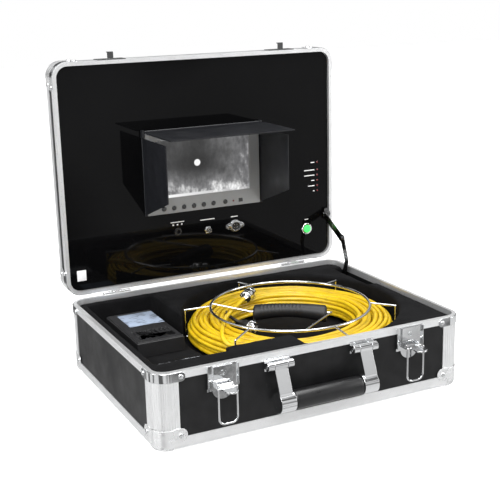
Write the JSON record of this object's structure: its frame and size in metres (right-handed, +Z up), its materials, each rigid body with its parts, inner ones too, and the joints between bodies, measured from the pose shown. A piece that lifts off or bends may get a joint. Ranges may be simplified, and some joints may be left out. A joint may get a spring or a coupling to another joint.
{
  "type": "pipe inspection camera case",
  "caption": "Portable pipe inspection camera kit: hard case with hinged lid, hooded monitor, push-cable reel, camera head, tray, latches and carrying handle.",
  "frame": {"origin": "middle of the case's underside, on the plane it rests on", "axes": "+X to the right along the case's length, +Y to the hinged back, +Z up"},
  "size_m": [0.4542, 0.4166, 0.4548],
  "materials": {
    "case_laminate": "black laminated board with a fine leather grain",
    "edge_alloy": "brushed and anodised edge profile",
    "corner_steel": "pressed steel, bright nickel plating",
    "bright_steel": "chrome plate",
    "dark_steel": "black coated steel",
    "black_foam": "closed-cell foam",
    "grip_plastic": "black grip, fine ribs",
    "grip_foam": "soft foam rubber sleeve",
    "dark_plastic": "textured black plastic",
    "pouch_film": "clear bag of small fittings",
    "yellow_jacket": "yellow push-cable jacket",
    "panel_acrylic": "gloss black panel",
    "bezel_silver": "silver grey paint",
    "screen_glass": "display glass",
    "led_red": "dark red lens",
    "button_green": "lit green button",
    "battery_wrap": "shrink film",
    "board_green": "solder mask",
    "hood_black": "satin black sheet",
    "key_black": "gloss black key"
  },
  "bodies": {
    "case": {"base_shell": "case_laminate", "base_rim_frame": "edge_alloy", "base_bottom_rails": "edge_alloy", "base_corner_posts": "edge_alloy", "base_corner_caps": "corner_steel", "base_rivets": "bright_steel", "foam_insert": "black_foam", "base_hinge_leaves": "bright_steel", "pivot_pins": "bright_steel", "latch_plates": "bright_steel", "handle_brackets": "bright_steel", "stay_base_bracket": "dark_steel", "power_adapter": "dark_plastic", "accessory_pouch": "pouch_film", "reel_frame": "bright_steel", "reel_grip": "grip_foam", "push_cable_coil": "yellow_jacket", "push_cable_tail": "yellow_jacket", "camera_head": "bright_steel", "plug_lead": "dark_plastic", "cable_plug": "bright_steel"},
    "lid": {"lid_shell": "case_laminate", "lid_rim_frame": "edge_alloy", "lid_edge_rails": "edge_alloy", "lid_corner_caps": "corner_steel", "lid_rivets": "bright_steel", "lid_hinge_leaves": "bright_steel", "latch_catches": "dark_steel", "stay_lid_bracket": "dark_steel", "control_panel": "panel_acrylic", "monitor_case": "dark_plastic", "monitor_bezel": "bezel_silver", "display_screen": "screen_glass", "remote_sensor": "panel_acrylic", "dc_jack": "dark_plastic", "video_jack": "bright_steel", "cam_socket": "bright_steel", "status_leds": "led_red", "power_switch_ring": "bright_steel", "battery_pack": "battery_wrap", "control_board": "board_green"},
    "handle": {"handle_arms": "bright_steel", "handle_grip": "grip_plastic"},
    "latch_left": {"latch_lever_left": "bright_steel"},
    "latch_right": {"latch_lever_right": "bright_steel"},
    "bail_left": {"latch_bail_left": "bright_steel"},
    "bail_right": {"latch_bail_right": "bright_steel"},
    "stay_lower": {"stay_lower_link": "dark_steel"},
    "stay_upper": {"stay_upper_link": "dark_steel"},
    "power_button": {"power_button": "button_green"},
    "hood_top": {"hood_top_flap": "hood_black"},
    "hood_left": {"hood_left_flap": "hood_black"},
    "hood_right": {"hood_right_flap": "hood_black"},
    "power_key": {"monitor_power_key": "key_black"},
    "menu_key_1": {"menu_key_1": "key_black"},
    "menu_key_2": {"menu_key_2": "key_black"},
    "menu_key_3": {"menu_key_3": "key_black"},
    "menu_key_4": {"menu_key_4": "key_black"},
    "menu_key_5": {"menu_key_5": "key_black"},
    "menu_key_6": {"menu_key_6": "key_black"}
  },
  "joints": [
    {"name": "lid_hinge", "type": "hinge", "parent": "case", "child": "lid", "pos_m": [0, 0.1724, 0.1023], "axis": [1, 0, 0], "range_deg": [0, 90]},
    {"name": "handle_swing", "type": "hinge", "parent": "case", "child": "handle", "pos_m": [0, -0.1775, 0.087], "axis": [-1, 0, 0], "range_deg": [0, 95]},
    {"name": "latch_left_lever", "type": "hinge", "parent": "case", "child": "latch_left", "pos_m": [-0.137, -0.1754, 0.075], "axis": [1, 0, 0], "range_deg": [0, 84]},
    {"name": "latch_right_lever", "type": "hinge", "parent": "case", "child": "latch_right", "pos_m": [0.137, -0.1754, 0.075], "axis": [1, 0, 0], "range_deg": [0, 84]},
    {"name": "latch_left_bail", "type": "hinge", "parent": "latch_left", "child": "bail_left", "pos_m": [-0.137, -0.1844, 0.075], "axis": [1, 0, 0], "range_deg": [-264, 0]},
    {"name": "latch_right_bail", "type": "hinge", "parent": "latch_right", "child": "bail_right", "pos_m": [0.137, -0.1844, 0.075], "axis": [1, 0, 0], "range_deg": [-264, 0]},
    {"name": "stay_lower_pivot", "type": "hinge", "parent": "case", "child": "stay_lower", "pos_m": [0.21, 0.1184, 0.0733], "axis": [1, 0, 0], "range_deg": [0, 90]},
    {"name": "stay_knee", "type": "hinge", "parent": "stay_lower", "child": "stay_upper", "pos_m": [0.21, 0.1184, 0.1487], "axis": [1, 0, 0], "range_deg": [-90, 0]},
    {"name": "hood_top_hinge", "type": "hinge", "parent": "lid", "child": "hood_top", "pos_m": [0, 0.1732, 0.3372], "axis": [1, 0, 0], "range_deg": [0, 90]},
    {"name": "hood_left_hinge", "type": "hinge", "parent": "lid", "child": "hood_left", "pos_m": [-0.0965, 0.1758, 0.2137], "axis": [0, 0, -1], "range_deg": [0, 90]},
    {"name": "hood_right_hinge", "type": "hinge", "parent": "lid", "child": "hood_right", "pos_m": [0.0965, 0.1758, 0.2137], "axis": [0, 0, 1], "range_deg": [0, 90]},
    {"name": "power_button_press", "type": "slide", "parent": "lid", "child": "power_button", "axis": [0, 1, 0], "range_m": [0, 0.002], "stiffness_N_per_m": 900, "springref_m": -0.001},
    {"name": "menu_key_1_press", "type": "slide", "parent": "lid", "child": "menu_key_1", "axis": [0, 1, 0], "range_m": [0, 0.0008], "stiffness_N_per_m": 900, "springref_m": -0.001},
    {"name": "menu_key_2_press", "type": "slide", "parent": "lid", "child": "menu_key_2", "axis": [0, 1, 0], "range_m": [0, 0.0008], "stiffness_N_per_m": 900, "springref_m": -0.001},
    {"name": "menu_key_3_press", "type": "slide", "parent": "lid", "child": "menu_key_3", "axis": [0, 1, 0], "range_m": [0, 0.0008], "stiffness_N_per_m": 900, "springref_m": -0.001},
    {"name": "menu_key_4_press", "type": "slide", "parent": "lid", "child": "menu_key_4", "axis": [0, 1, 0], "range_m": [0, 0.0008], "stiffness_N_per_m": 900, "springref_m": -0.001},
    {"name": "menu_key_5_press", "type": "slide", "parent": "lid", "child": "menu_key_5", "axis": [0, 1, 0], "range_m": [0, 0.0008], "stiffness_N_per_m": 900, "springref_m": -0.001},
    {"name": "menu_key_6_press", "type": "slide", "parent": "lid", "child": "menu_key_6", "axis": [0, 1, 0], "range_m": [0, 0.0008], "stiffness_N_per_m": 900, "springref_m": -0.001},
    {"name": "power_key_press", "type": "slide", "parent": "lid", "child": "power_key", "axis": [0, 1, 0], "range_m": [0, 0.0008], "stiffness_N_per_m": 900, "springref_m": -0.001}
  ],
  "couplings": [
    {"joint": "stay_lower_pivot", "follows": "lid_hinge", "ratio": 1},
    {"joint": "stay_knee", "follows": "lid_hinge", "ratio": -1},
    {"joint": "hood_top_hinge", "follows": "lid_hinge", "ratio": 1},
    {"joint": "hood_left_hinge", "follows": "lid_hinge", "ratio": 1},
    {"joint": "hood_right_hinge", "follows": "lid_hinge", "ratio": 1},
    {"joint": "latch_left_bail", "follows": "latch_left_lever", "ratio": -3.1429},
    {"joint": "latch_right_bail", "follows": "latch_right_lever", "ratio": -3.1429}
  ]
}
